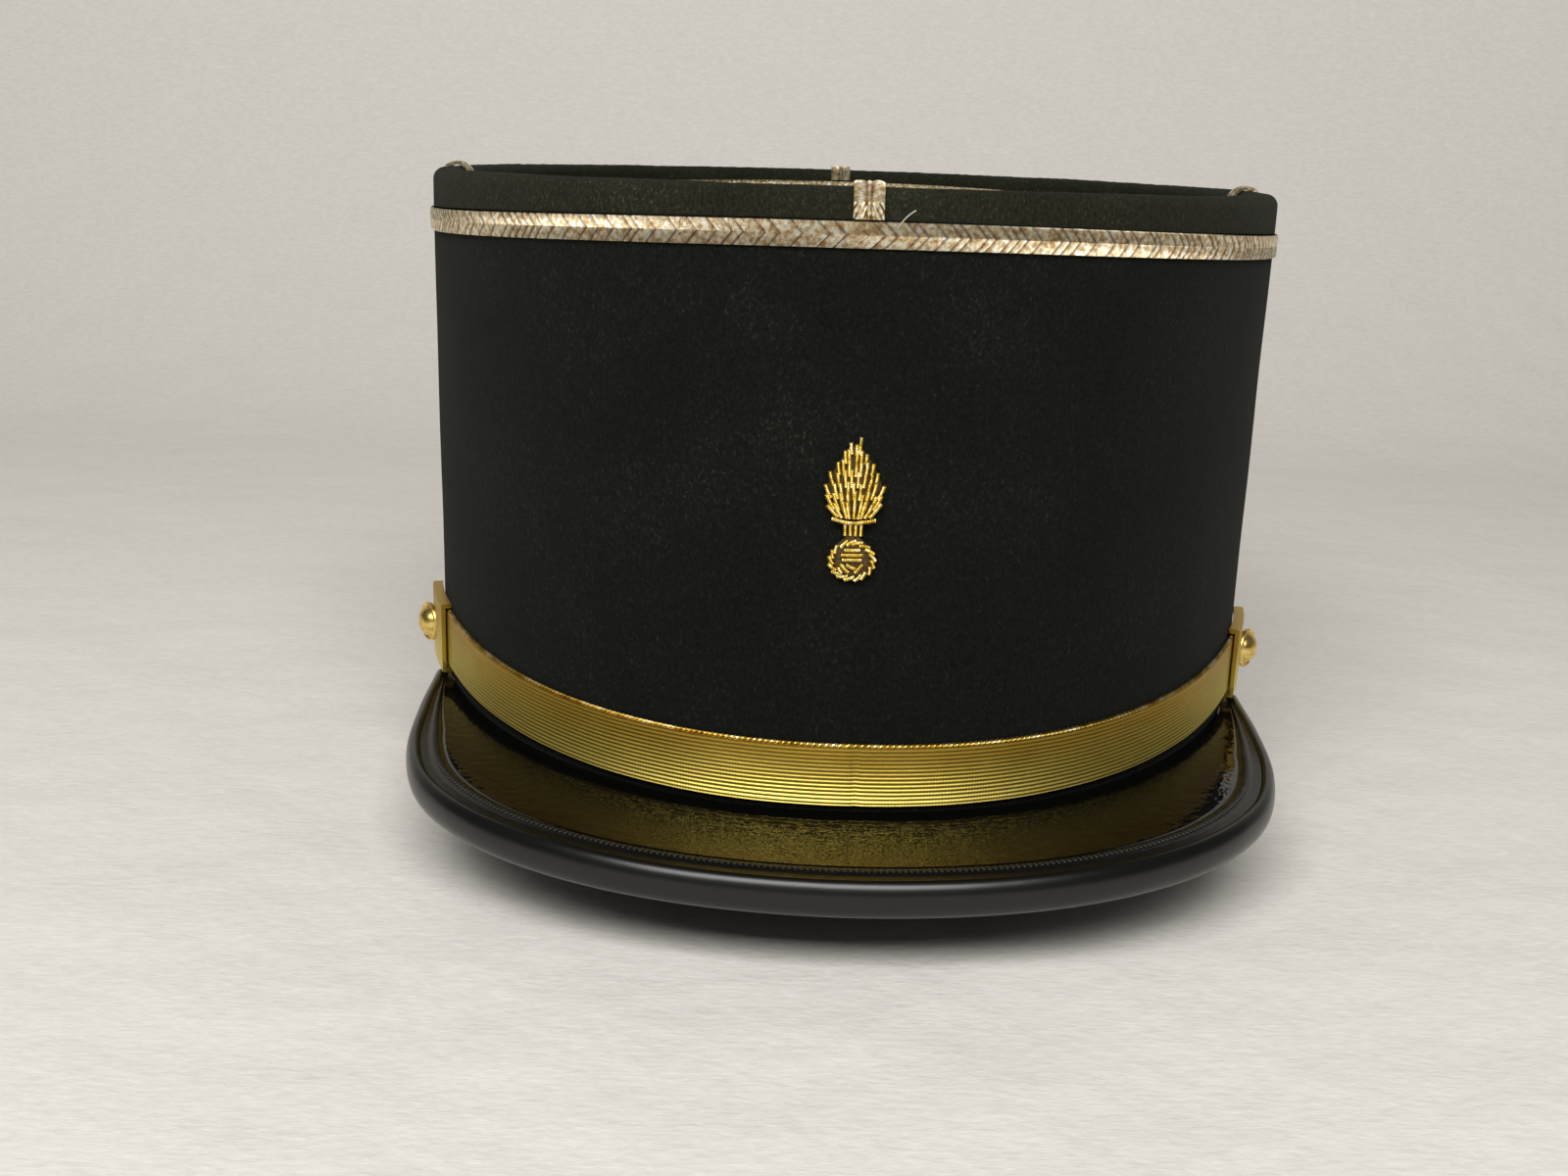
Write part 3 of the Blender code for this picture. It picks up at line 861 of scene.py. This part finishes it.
def edge_scale(width):
    return min(1.0, width / FULL_WIDTH)


def sheet_point(angle, way, side):
    """way runs from 0 at the felt over 1 at the edge zone to 2 at the bead. side is
    1 on top and -1 below."""
    start, end = sheet_span(angle)
    width = (end - start).length
    scale = edge_scale(width)
    zone = EDGE_ZONE * scale / width
    t = way * (1 - zone) if way <= 1.0 else 1 - zone + (way - 1.0) * zone
    inward = (1 - t) * width / scale
    relief = 0.0
    if side > 0:
        relief = RIDGE_RISE * math.exp(-((inward - RIDGE_IN) / RIDGE_HALF) ** 2)
        relief -= GROOVE_DEEP * math.exp(-((inward - GROOVE_IN) / GROOVE_HALF) ** 2)
    sag = VISOR_SAG * math.sin(math.pi * t)
    return start.lerp(end, t) + UP * (VISOR_THICK / 2 * side + relief * scale - sag)


def visor_point(u, way, side):
    return sheet_point(-SHEET_END + 2 * SHEET_END * u, way / MM, side / MM)


def visor_tone(u, way, side):
    """The edge zone is rubbed dull."""
    return min(max((way / MM - RUBBED_FROM) / RUBBED_OVER, 0.0), 1.0)


over_way = spread(0.0, 1.0, 22)[:-1] + spread(1.0, 2.0, 52)
under_way = spread(2.0, 1.0, 8)[:-1] + spread(1.0, 0.0, 10)
visor_section = [(way * MM, MM) for way in over_way]
visor_section += [(way * MM, -MM) for way in under_way]
visor = sleeve("patent_visor", 320, visor_section, visor_point, length=0.22,
               tone=visor_tone)
dress(visor, patent_sheet, "patent_leather", "visor")

# %% Bead
def bead_place(u, across, rise):
    angle = -TIP_ANGLE + 2 * TIP_ANGLE * u
    middle, half_height, half_thick = bead_at(angle)
    along = bead_course(angle)
    side = along.cross(UP).normalized()
    return middle + side * (half_thick * across / MM) + side.cross(along) * (
        half_height * rise / MM)


bead = sleeve("visor_bead", 400, ring(36, MM), bead_place, length=0.26)
dress(bead, patent_edge, "patent_edge", "visor_edge")

# %% [markdown]
# ## Stitches on the visor
# The raised line is sewn over with short stitches that lie across it, about one
# each millimetre. Each is a small ball stretched across the ridge, so a few hundred
# of them stay light. They get smaller towards the tips, as the ridge does.

# %% Visor stitches
STITCH_STEP = 0.95 * MM
STITCH_LONG, STITCH_WIDE, STITCH_TALL = 0.62 * MM, 0.30 * MM, 0.20 * MM
STITCH_LEAST = 0.45         # the smallest share of a full stitch
RIDGE_WAY = 2.0 - RIDGE_IN / EDGE_ZONE
ASIDE, AHEAD = 0.08, 0.002  # small steps that give the ridge's directions
stitches = bmesh.new()
angle = -STITCH_END
count = 0
while angle < STITCH_END:
    start, end = sheet_span(angle)
    size = max(edge_scale((end - start).length), STITCH_LEAST)
    here = sheet_point(angle, RIDGE_WAY, 1.0)
    outer = sheet_point(angle, RIDGE_WAY + ASIDE, 1.0)
    inner_side = sheet_point(angle, RIDGE_WAY - ASIDE, 1.0)
    ahead_of = sheet_point(angle + AHEAD, RIDGE_WAY, 1.0)
    across = (outer - inner_side).normalized()
    along = (ahead_of - here).normalized()
    facing = across.cross(along).normalized()
    if facing.z < 0:
        facing = -facing
    frame_of = Matrix((
        (across.x, along.x, facing.x, here.x), (across.y, along.y, facing.y, here.y),
        (across.z, along.z, facing.z, here.z), (0.0, 0.0, 0.0, 1.0)))
    stretch = Matrix.Diagonal((STITCH_LONG * size, STITCH_WIDE, STITCH_TALL * size, 1.0))
    bmesh.ops.create_icosphere(
        stitches, subdivisions=2, radius=1.0, matrix=frame_of @ stretch)
    angle += STITCH_STEP / ((ahead_of - here).length / AHEAD)
    count += 1
print("stitches on the visor:", count)
seam_thread, tree, shader = new_finish(
    "waxed_black_thread", base_color="#2C2B27", roughness=0.4)
dress(finish("visor_stitches", stitches), seam_thread, "patent_leather")

# %% [markdown]
# ## Gold lace
# The strap is a ribbed lace of gilt thread over a core. The ribs run along it,
# fifteen in its 10 mm. They are deepest near the lower edge and flatten out
# towards the upper. The gold is painted browner and darker towards the upper edge,
# as painted shade, and the grooves between the ribs are painted darker as painted
# shade, most at the foot. Each rib is wound with fine thread, which is a bump across it.

# %% Gold lace finish
WINDING_PITCH = 0.5         # of the fine thread round a rib, in millimetres
WINDING_SHARE, STAIN_SHARE = 0.25, 0.35


def lace_finish(name, shade_height_mm):
    """The last number is the height over which the gold is painted from bright to a
    browner, darker gold, as painted shade, with random stains mixed in.
    """
    look, tree, shader = new_finish(name, metallic=1.0, roughness=0.46)
    run, rise = flat_lengths(tree)
    spot = place_on(tree)
    stains = grains(tree, spot, size_mm=9, detail=4.0)
    # Painted shade: the gold turns browner and darker towards the top of the strap; random
    # stains are mixed in.
    worn = reckon(tree, "MULTIPLY_ADD", stains, STAIN_SHARE,
                  reckon(tree, "DIVIDE", rise, shade_height_mm))
    metal = tinted(tree, worn, (0.15, "#E2D070"), (0.55, "#D6C05C"), (1.0, "#BC9C40"))
    height = reckon(tree, "MULTIPLY_ADD", wave_of(tree, run, WINDING_PITCH),
                    WINDING_SHARE, grains(tree, spot, size_mm=0.7, detail=3.0))
    # The grooves are painted a dark brown as painted shade.
    plug(tree, shader, base_color=dark_thread_and_shade(tree, metal, "#4A3608"),
         normal=bumped(tree, height, strength=0.5, deep_mm=0.06))
    return look


gold_lace = lace_finish("ribbed_gold_lace", STRAP_WIDTH / MM)

# %% Chin strap
STRAP_THICK, STRAP_SIDE = 0.9 * MM, 0.35 * MM
RIBS, RIB_ROWS = 15, 7
RIB_LEAST, RIB_MORE = 0.08, 0.16    # millimetres deep at the top, and more at the foot
CREASE_AT, CREASE_HALF, CREASE_DEEP = 1.8 * MM, 0.5 * MM, 0.25 * MM     # a soft fold
STRAP_WAVE = 0.08 * MM
GROOVE_SHADE_FOOT, GROOVE_SHADE_FALL = 0.75, 0.45   # darkness of a groove at the foot, and its loss
strap_face = GAP + STRAP_THICK


def rib_at(share):
    """1 on the crest of a rib and 0 in a groove."""
    return 0.5 + 0.5 * math.cos(2 * math.pi * RIBS * share)


# Painted shade: the grooves between the ribs are darkened, most at the foot.
def strap_groove_shade(u, outward, rise):
    share = rise / STRAP_WIDTH
    if outward <= GAP:
        return 0.0
    return (1 - rib_at(share)) ** 2 * (GROOVE_SHADE_FOOT - GROOVE_SHADE_FALL * share)


def strap_point(u, outward, rise):
    angle = -TIP_ANGLE + 2 * TIP_ANGLE * u
    low = strap_height(angle)
    spot = felt_point(angle, low + rise, outward)
    if outward > GAP + 0.05 * MM:
        share = rise / STRAP_WIDTH
        cut = (RIB_LEAST + RIB_MORE * (1 - share) ** 1.5) * MM * (1 - rib_at(share))
        fold = math.exp(-((spot.x - CREASE_AT) / CREASE_HALF) ** 2) * CREASE_DEEP
        wave = noise.noise(
            Vector((spot.x / (9 * MM), rise / (6 * MM), 2.0))) * STRAP_WAVE
        spot = felt_point(angle, low + rise, outward - cut - fold + wave)
    return spot


strap_foot, strap_top = 0.01 * STRAP_WIDTH, 0.99 * STRAP_WIDTH
strap_section = [
    (strap_face, rise) for rise in spread(strap_foot, strap_top, RIBS * RIB_ROWS)]
strap_section += [(strap_face - STRAP_SIDE, STRAP_WIDTH), (GAP, strap_top),
                  (GAP, strap_foot), (strap_face - STRAP_SIDE, 0.0)]
strap = sleeve("gold_chin_strap", 300, strap_section, strap_point, length=0.2,
               tone=strap_groove_shade)
dress(strap, gold_lace, "gold_lace", "chin_strap")

# %% [markdown]
# ## The twisted edge of the strap
# A thin two-ply gilt cord is sewn along the upper edge. Each ply is a round sleeve
# that winds round the cord's line, half a turn behind the other, so its turns glint
# one by one.

# %% Twisted cord
CORD_PLY, CORD_OFF, CORD_PITCH = 0.26 * MM, 0.19 * MM, 1.9 * MM
CORD_LENGTH = 0.205         # in metres
CORD_OVER, CORD_OUT = 0.12 * MM, 0.75 * MM      # over the strap's edge, off the felt
NEARBY = 0.002              # a small step along the cord


def cord_line(u):
    angle = -TIP_ANGLE + 2 * TIP_ANGLE * u
    return felt_point(angle, strap_height(angle) + STRAP_WIDTH + CORD_OVER, CORD_OUT)


def cord_place(phase):
    def place(u, across, rise):
        here = cord_line(u)
        before, after = max(u - NEARBY, 0.0), min(u + NEARBY, 1.0)
        along = (cord_line(after) - cord_line(before)).normalized()
        side = along.cross(UP).normalized()
        tall = side.cross(along)
        turn = 2 * math.pi * u * CORD_LENGTH / CORD_PITCH + phase
        core = here + (side * math.cos(turn) + tall * math.sin(turn)) * CORD_OFF
        return core + side * across + tall * rise
    return place


bright_gilt = mottled(
    "bright_gilt_wire", (0.3, "#A07A2C"), (0.52, "#D2B25A"), (0.72, "#FFF0BE"),
    size_mm=2.5, detail=2.0, metallic=1.0, roughness=0.28)
for name, phase in (("strap_cord_ply_a", 0.0), ("strap_cord_ply_b", math.pi)):
    ply = sleeve(name, 1000, ring(7, CORD_PLY), cord_place(phase), length=CORD_LENGTH)
    dress(ply, bright_gilt, "gold_lace")

# %% [markdown]
# ## Keepers and buttons
# A plain loop of flat lace closes each end of the strap, and a domed gilt button
# goes through it. The loop has rounded edges. The button is spun from a half
# section: a dome, a step and a thin rolled rim. Both are a little smaller than the
# frame's plain ones, and the button has tipped forward, as a used one does.

# %% Strap keepers
KEEPER_FROM, KEEPER_TO = math.radians(64.6), math.radians(75.8)
KEEPER_LOW, KEEPER_HIGH = 25.1 * MM, 38.9 * MM
KEEPER_THICK, KEEPER_LIP = 0.8 * MM, 0.9 * MM
KEEPER_ROUND, KEEPER_BEVEL = 0.45 * MM, 0.12 * MM
KEEPER_WEAR = 0.05 * MM
keeper_inside = GAP + STRAP_THICK + GAP
keeper_outside = keeper_inside + KEEPER_THICK


def keeper_place(side):
    def place(u, outward, height):
        angle = side * (KEEPER_FROM + (KEEPER_TO - KEEPER_FROM) * u)
        worn = noise.noise(Vector((u * 6.0, height / MM * 0.5, side))) * KEEPER_WEAR
        face = outward > keeper_inside
        return felt_point(angle, height, outward + (worn if face else 0.0))
    return place


keeper_section = [(GAP, KEEPER_LOW), (keeper_outside - KEEPER_ROUND, KEEPER_LOW),
                  (keeper_outside - KEEPER_BEVEL, KEEPER_LOW + KEEPER_BEVEL)]
keeper_section += [(keeper_outside, z) for z in spread(
    KEEPER_LOW + KEEPER_ROUND, KEEPER_HIGH - KEEPER_ROUND, 25)]
keeper_section += [
    (keeper_outside - KEEPER_BEVEL, KEEPER_HIGH - KEEPER_BEVEL),
    (keeper_outside - KEEPER_ROUND, KEEPER_HIGH), (GAP, KEEPER_HIGH),
    (GAP, KEEPER_HIGH - KEEPER_LIP), (keeper_inside, KEEPER_HIGH - KEEPER_LIP),
    (keeper_inside, KEEPER_LOW + KEEPER_LIP), (GAP, KEEPER_LOW + KEEPER_LIP)]
# The keeper lace gets the same painted shade, over 16 mm of its section.
plain_lace = lace_finish("plain_gold_lace", shade_height_mm=16.0)
for name, side in (("left", 1), ("right", -1)):
    keeper = sleeve("lace_keeper_" + name, 24, keeper_section, keeper_place(side),
                    length=24 * MM)
    dress(keeper, plain_lace, "strap_keeper_" + name, "strap_keeper_" + name)

# %% Gilt buttons
BUTTON_ANGLE, BUTTON_HEIGHT = math.radians(71.8), 32.3 * MM
BUTTON_LEAN, BUTTON_LIFT = math.radians(20.0), 0.5 * MM
BUTTON_SIDES = 48
gilt_brass = mottled(
    "polished_gilt_brass", (0.35, "#CDA54C"), (0.65, "#F6DC88"), size_mm=1.2,
    detail=4.0, gloss=(0.16, 0.44), metallic=1.0)
# Distance from the button's axis and height over its back, in millimetres.
half_button = [
    (0.0, 2.55), (0.8, 2.48), (1.6, 2.26), (2.2, 1.92), (2.65, 1.46), (2.9, 1.03),
    (3.05, 0.79), (3.2, 0.74), (3.35, 0.84), (3.55, 0.98), (3.75, 0.96),
    (3.9, 0.74), (3.88, 0.36), (3.7, 0.06), (3.4, 0.0), (0.0, 0.0)]
seat = keeper_outside + BUTTON_LIFT
for name, side in (("left", 1), ("right", -1)):
    angle, nearby = side * BUTTON_ANGLE, math.radians(1.0)
    along = (felt_point(angle + nearby, BUTTON_HEIGHT)
             - felt_point(angle - nearby, BUTTON_HEIGHT)).normalized()
    out = Vector((along.y, -along.x, 0.0))
    turned = bmesh.new()
    corners = [turned.verts.new((r * MM, 0.0, z * MM)) for r, z in half_button]
    edges = [turned.edges.new(pair) for pair in zip(corners, corners[1:])]
    bmesh.ops.spin(turned, geom=corners + edges, cent=(0, 0, 0), axis=(0, 0, 1),
                   angle=2 * math.pi, steps=BUTTON_SIDES, use_merge=True,
                   use_duplicate=False)
    bmesh.ops.remove_doubles(turned, verts=turned.verts[:], dist=0.005 * MM)
    stand = Matrix.Translation(felt_point(angle, BUTTON_HEIGHT) + out * seat)
    lean = Matrix.Rotation(-side * BUTTON_LEAN, 4, "Z")
    bmesh.ops.transform(
        turned, verts=turned.verts[:],
        matrix=stand @ lean @ out.to_track_quat("Z", "Y").to_matrix().to_4x4())
    button = finish("gilt_button_" + name, turned)
    dress(button, gilt_brass, "button_" + name, "button_" + name)

# %% [markdown]
# ## The grenade
# The flaming grenade is a common old ornament. It is worked in bullion, which is
# wire wound into a fine hollow coil, cut into short lengths and sewn down over
# padding like beads. So each length here is a round sleeve with rings in it. The
# flames stand in tiers, from the top down, and each tier lies over the feet of the
# one above. Places on the grenade are in millimetres, from its axis and its foot.

# %% Bullion finish
bullion = mottled(
    "gold_bullion_coil", (0.3, "#A8841F"), (0.5, "#DCBC52"), (0.7, "#FFEDB4"),
    size_mm=1.0, detail=3.0, metallic=1.0, roughness=0.3)
padding = mottled(
    "ochre_padding_thread", (0.35, "#2A1D05"), (0.7, "#5A4210"), size_mm=0.5,
    detail=4.0, roughness=0.7)

# %% Bullion lengths
BADGE_FOOT = 59.6 * MM
COIL_PITCH, COIL_STEPS = 0.34 * MM, 4       # from ring to ring, and points in each
COIL_DENT, COIL_END = 0.20, 0.35            # between two rings, and at the cut ends


def on_the_front(across, height, outward):
    """A point over the felt's front, given by how far it is to one side."""
    section = smooth(CROWN_SECTIONS, height / MM)
    share = (abs(across) / (section.half_width * MM)) ** section.squareness
    along = section.half_length * MM * (1 - share) ** (1 / section.squareness)
    return Vector((across, section.centre_y * MM - along - outward, height))


def bullion_length(mesh, foot, tip, bow, lift, radius):
    """A coil from foot to tip, both (across, height) in mm over the badge's foot.
    bow is how far its middle is pushed to the right of the straight line."""
    foot, tip = Vector(foot), Vector(tip)
    aside = Vector((tip.y - foot.y, foot.x - tip.x)).normalized()
    rings = max(2, round((tip - foot).length * MM / COIL_PITCH))
    way = (on_the_front(tip.x * MM, BADGE_FOOT + tip.y * MM, GAP)
           - on_the_front(foot.x * MM, BADGE_FOOT + foot.y * MM, GAP)).normalized()
    side = way.cross(Vector((0.0, -1.0, 0.0))).normalized()

    def place(u, across, rise):
        line = foot.lerp(tip, u) + aside * (bow * 4 * u * (1 - u))
        bulge = 1 - COIL_DENT + COIL_DENT * abs(math.sin(math.pi * rings * u))
        round_end = min(1.0, math.sqrt(max(0.0, 1 - (2 * u - 1) ** 10)) + COIL_END)
        spot = on_the_front(line.x * MM, BADGE_FOOT + line.y * MM, GAP + lift)
        swell = bulge * round_end * radius / MM
        return spot + (side * across + side.cross(way) * rise) * swell

    wrap(mesh, rings * COIL_STEPS, ring(8, MM), place)


# %% Flames, band, neck and ball
Tier = namedtuple("Tier", "foot lengths foot_half tip_half tall lift")
TIERS = (
    Tier(20.0, 3, 0.9, 1.2, 2.2, 0.60),
    Tier(18.4, 5, 2.0, 2.4, 2.7, 0.64),
    Tier(16.6, 7, 3.0, 3.5, 2.8, 0.68),
    Tier(14.8, 8, 3.7, 4.4, 2.9, 0.72),
    Tier(12.8, 9, 4.0, 5.1, 3.1, 0.78),
    Tier(11.0, 9, 3.5, 5.1, 3.3, 0.86),
    Tier(9.8, 9, 2.6, 4.6, 2.9, 0.98),
)
STRAND, TOP_STRAND = 0.36 * MM, 0.32 * MM
AXIS = -0.4                 # the grenade is sewn on a little to the cap's right
BALL, BALL_LENGTHS = 2.95, 17       # height of the ball's middle, lengths round it
WREATH_LEAN = 0.5           # in radians, from a length's foot to its tip
WREATH_FEET, WREATH_TIPS = (2.95, 2.6), (3.85, 3.35)    # half width and half height
grenade = bmesh.new()


def strand(foot, tip, bow, lift, radius=STRAND):
    foot, tip = ((across + AXIS, height) for across, height in (foot, tip))
    bullion_length(grenade, foot, tip, bow, lift * MM, radius)


strand((0.3, 21.0), (0.7, 23.1), 0.2, 0.55, TOP_STRAND)
for tier in TIERS:
    for i in range(tier.lengths):
        aside = (i + 0.5) / tier.lengths * 2 - 1
        jog = chance.uniform(-0.25, 0.25)
        tall = tier.tall * chance.uniform(0.85, 1.1) * (1 - 0.15 * aside ** 2)
        foot = (aside * tier.foot_half + jog * 0.5, tier.foot + 0.4 * aside ** 2)
        tip = (aside * tier.tip_half + jog, tier.foot + tall)
        strand(foot, tip, 0.1 * aside, tier.lift)
strand((-3.5, 9.9), (-1.0, 9.3), 0.1, 1.05)
strand((-1.3, 9.3), (1.4, 9.3), 0.05, 1.1)
strand((1.1, 9.4), (3.6, 9.8), 0.1, 1.0)
for across in (-1.3, -0.45, 0.45, 1.3):
    strand((across * 0.95, 7.0), (across, 9.0), 0.0, 0.62)
for i in range(BALL_LENGTHS):       # a wreath of lengths that lean outwards
    first = 2 * math.pi * (i + chance.uniform(-0.15, 0.15)) / BALL_LENGTHS
    foot, tip = (
        (size[0] * math.sin(turn), BALL + size[1] * math.cos(turn))
        for size, turn in ((WREATH_FEET, first), (WREATH_TIPS, first + WREATH_LEAN)))
    strand(foot, tip, -0.12, 0.62)
for half, rise in ((1.3, 1.75), (1.8, 0.95), (1.6, 0.15)):
    strand((-half, BALL + rise), (half, BALL + rise + 0.08), 0.0, 0.95)
for foot, tip in (((-1.9, -0.4), (-0.4, -2.0)), ((1.8, -0.5), (0.5, -2.0)),
                  ((-0.9, -0.6), (0.7, -1.3)), ((-2.3, -0.9), (-1.5, -2.1))):
    strand((foot[0], BALL + foot[1]), (tip[0], BALL + tip[1]), 0.05, 0.9)
dress(finish("bullion_grenade", grenade), bullion, "gold_bullion", "badge")

# %% Padding under the grenade
PadRow = namedtuple("PadRow", "height half_width thick")
PAD_ROWS = (
    PadRow(-0.1, 1.2, 0.4), PadRow(0.9, 2.7, 0.7), PadRow(3.0, 3.4, 0.8),
    PadRow(5.2, 2.6, 0.7), PadRow(7.0, 1.1, 0.5), PadRow(8.8, 1.2, 0.5),
    PadRow(9.8, 2.4, 0.5), PadRow(12.0, 3.9, 0.6), PadRow(14.5, 4.4, 0.6),
    PadRow(16.5, 3.8, 0.5), PadRow(18.5, 2.8, 0.5), PadRow(20.2, 1.7, 0.45),
    PadRow(21.6, 0.5, 0.3),
)


def pad_place(u, across, lift):
    low, high = PAD_ROWS[0].height, PAD_ROWS[-1].height
    row = smooth(PAD_ROWS, low + u * (high - low))
    return on_the_front(
        across * row.half_width + AXIS * MM, BADGE_FOOT + row.height * MM,
        GAP + lift * max(row.thick, 0.1))


pad_section = [
    (math.cos(turn) * MM, math.sin(turn) * MM) for turn in spread(0.0, math.pi, 11)]
pad_section += [(0.0, 0.0)]
pad = sleeve("grenade_padding", 60, pad_section, pad_place)
dress(pad, padding, "gold_bullion")

# %% [markdown]
# ## A stray thread
# One metal thread has come loose from the braid beside the front tab and stands up
# against the rim.

# %% Stray thread
THREAD_RADIUS, THREAD_BOW = 0.13 * MM, 0.35 * MM
thread_foot = felt_point(math.radians(2.4), 114.9 * MM, 1.0 * MM)
thread_tip = felt_point(math.radians(4.0), 117.7 * MM, 1.6 * MM)


def thread_place(u, across, rise):
    line = thread_foot.lerp(thread_tip, u) + UP * (THREAD_BOW * math.sin(math.pi * u))
    way = (thread_tip - thread_foot).normalized()
    side = way.cross(Vector((0.0, 1.0, 0.0))).normalized()
    return line + side * across + side.cross(way) * rise


stray = sleeve("stray_braid_thread", 16, ring(6, THREAD_RADIUS), thread_place,
               length=4 * MM)
pale_thread, tree, shader = new_finish(
    "pale_metal_thread", base_color="#E6DCC8", metallic=1.0, roughness=0.45)
dress(stray, pale_thread, "band_braid")

# %% [markdown]
# ## Sizes
# The boxes of the frame and of the new pieces are printed, one after the other.

# %% Sizes and the end
dressed_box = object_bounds()
for name, (low, high) in (("frame", cad_box), ("dressed", dressed_box)):
    print(name, "box in mm:", [round(v / MM, 1) for v in high - low])
